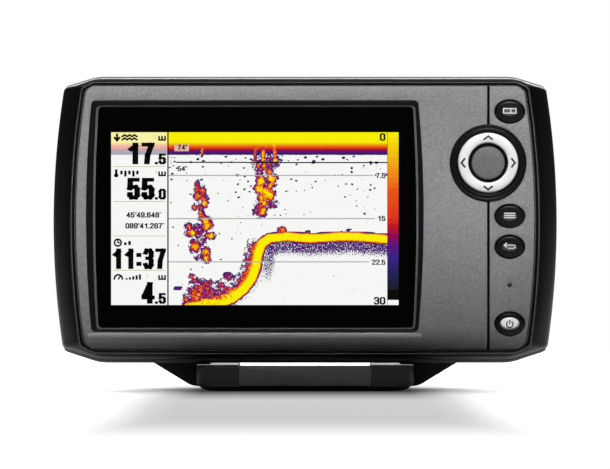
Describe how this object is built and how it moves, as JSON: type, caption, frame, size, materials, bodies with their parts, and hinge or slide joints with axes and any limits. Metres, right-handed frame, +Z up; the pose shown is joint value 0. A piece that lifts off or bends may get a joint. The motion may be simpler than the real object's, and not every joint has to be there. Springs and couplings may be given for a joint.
{
  "type": "fish finder",
  "caption": "Console-top fish finder: wide lit screen, oval keys and a four-way ring in a black housing that tilts in a low gimbal bracket.",
  "frame": {"origin": "on the surface that the base stands on, under the centre of the object's box", "axes": "+Z up, the screen faces -Y, +X to the right of a person looking at the screen"},
  "size_m": [0.1886, 0.074, 0.1183],
  "materials": {
    "bracket_plastic": "fine texture",
    "housing_black": "satin",
    "face_grey": "fine grained metallic grey",
    "trim_black": "gloss",
    "cover_glass": "polished, black printed border",
    "lcd_white": "lit screen",
    "foam_black": "foam",
    "tray_steel": "pressed sheet",
    "board_green": "solder mask",
    "shield_steel": "tinned sheet",
    "sink_aluminium": "extruded",
    "ferrite_grey": "ferrite and winding",
    "capacitor_sleeve": "shrink sleeve",
    "ceramic_cream": "ceramic",
    "buzzer_black": "moulded",
    "dome_steel": "pressed",
    "mat_silicone": "silicone",
    "seal_silicone": "silicone",
    "screw_steel": "stainless",
    "socket_black": "glass filled nylon",
    "contact_brass": "gold plated",
    "vent_black": "moulded",
    "insert_brass": "turned",
    "surround_black": "satin gloss",
    "hub_grey": "fine grained",
    "sensor_black": "smoked lens",
    "key_black": "silicone key",
    "lens_silver": "silvered lens",
    "ring_silver": "satin silver",
    "pad_rubber": "matt rubber",
    "cover_grey": "fine texture",
    "washer_nylon": "friction washer",
    "knob_black": "moulded, fluted",
    "stud_steel": "stainless"
  },
  "bodies": {
    "bracket": {"gimbal_bracket": "bracket_plastic", "base_pad": "pad_rubber", "base_front_cover": "cover_grey", "left_ear_washer": "washer_nylon", "right_ear_washer": "washer_nylon"},
    "view_key": {"view_button": "key_black"},
    "menu_key": {"menu_button": "key_black"},
    "exit_key": {"exit_button": "key_black"},
    "power_key": {"power_button": "key_black", "power_lens": "lens_silver"},
    "cursor_pivot": {"cursor_pivot_ring": "mat_silicone"},
    "cursor_rocker": {"cursor_ring": "ring_silver"},
    "left_clamp": {"left_knob": "knob_black", "left_stud": "stud_steel"},
    "right_clamp": {"right_knob": "knob_black", "right_stud": "stud_steel"},
    "head": {"front_housing": "housing_black", "rear_housing": "housing_black", "faceplate": "face_grey", "keypad_panel": "face_grey", "glass_trim": "trim_black", "display_glass": "cover_glass", "lcd_gasket": "foam_black", "lcd_panel": "lcd_white", "backlight_tray": "tray_steel", "main_board": "board_green", "board_shield": "shield_steel", "heat_sink": "sink_aluminium", "sonar_transformer": "ferrite_grey", "power_capacitors": "capacitor_sleeve", "gps_antenna": "ceramic_cream", "buzzer": "buzzer_black", "keypad_board": "board_green", "switch_domes": "dome_steel", "keypad_mat": "mat_silicone", "housing_seal": "seal_silicone", "housing_screws": "screw_steel", "board_screws": "screw_steel", "power_socket": "socket_black", "power_pins": "contact_brass", "transducer_socket": "socket_black", "transducer_pins": "contact_brass", "vent_plug": "vent_black", "pivot_inserts": "insert_brass", "cursor_surround": "surround_black", "cursor_hub": "hub_grey", "hub_collar": "surround_black", "sensor_window": "sensor_black"}
  },
  "joints": [
    {"name": "head_tilt", "type": "hinge", "parent": "bracket", "child": "head", "pos_m": [0, -0.0035, 0.064], "axis": [-1, 0, 0], "range_deg": [-2, 30]},
    {"name": "view_press", "type": "slide", "parent": "head", "child": "view_key", "axis": [0, 1, 0], "range_m": [0, 0.001], "stiffness_N_per_m": 3000},
    {"name": "menu_press", "type": "slide", "parent": "head", "child": "menu_key", "axis": [0, 1, 0], "range_m": [0, 0.001], "stiffness_N_per_m": 3000},
    {"name": "exit_press", "type": "slide", "parent": "head", "child": "exit_key", "axis": [0, 1, 0], "range_m": [0, 0.001], "stiffness_N_per_m": 3000},
    {"name": "power_press", "type": "slide", "parent": "head", "child": "power_key", "axis": [0, 1, 0], "range_m": [0, 0.001], "stiffness_N_per_m": 3000},
    {"name": "cursor_rock_up_down", "type": "hinge", "parent": "head", "child": "cursor_pivot", "pos_m": [0.0686, -0.033, 0.0859], "axis": [1, 0, 0], "range_deg": [-3.5, 3.5], "stiffness_Nm_per_rad": 0.45},
    {"name": "cursor_rock_left_right", "type": "hinge", "parent": "cursor_pivot", "child": "cursor_rocker", "pos_m": [0.0686, -0.033, 0.0859], "axis": [0, 0, 1], "range_deg": [-3.5, 3.5], "stiffness_Nm_per_rad": 0.45},
    {"name": "left_knob_turn", "type": "hinge", "parent": "head", "child": "left_clamp", "pos_m": [0, -0.0035, 0.064], "axis": [-1, 0, 0], "continuous": true},
    {"name": "right_knob_turn", "type": "hinge", "parent": "head", "child": "right_clamp", "pos_m": [0, -0.0035, 0.064], "axis": [1, 0, 0], "continuous": true}
  ]
}
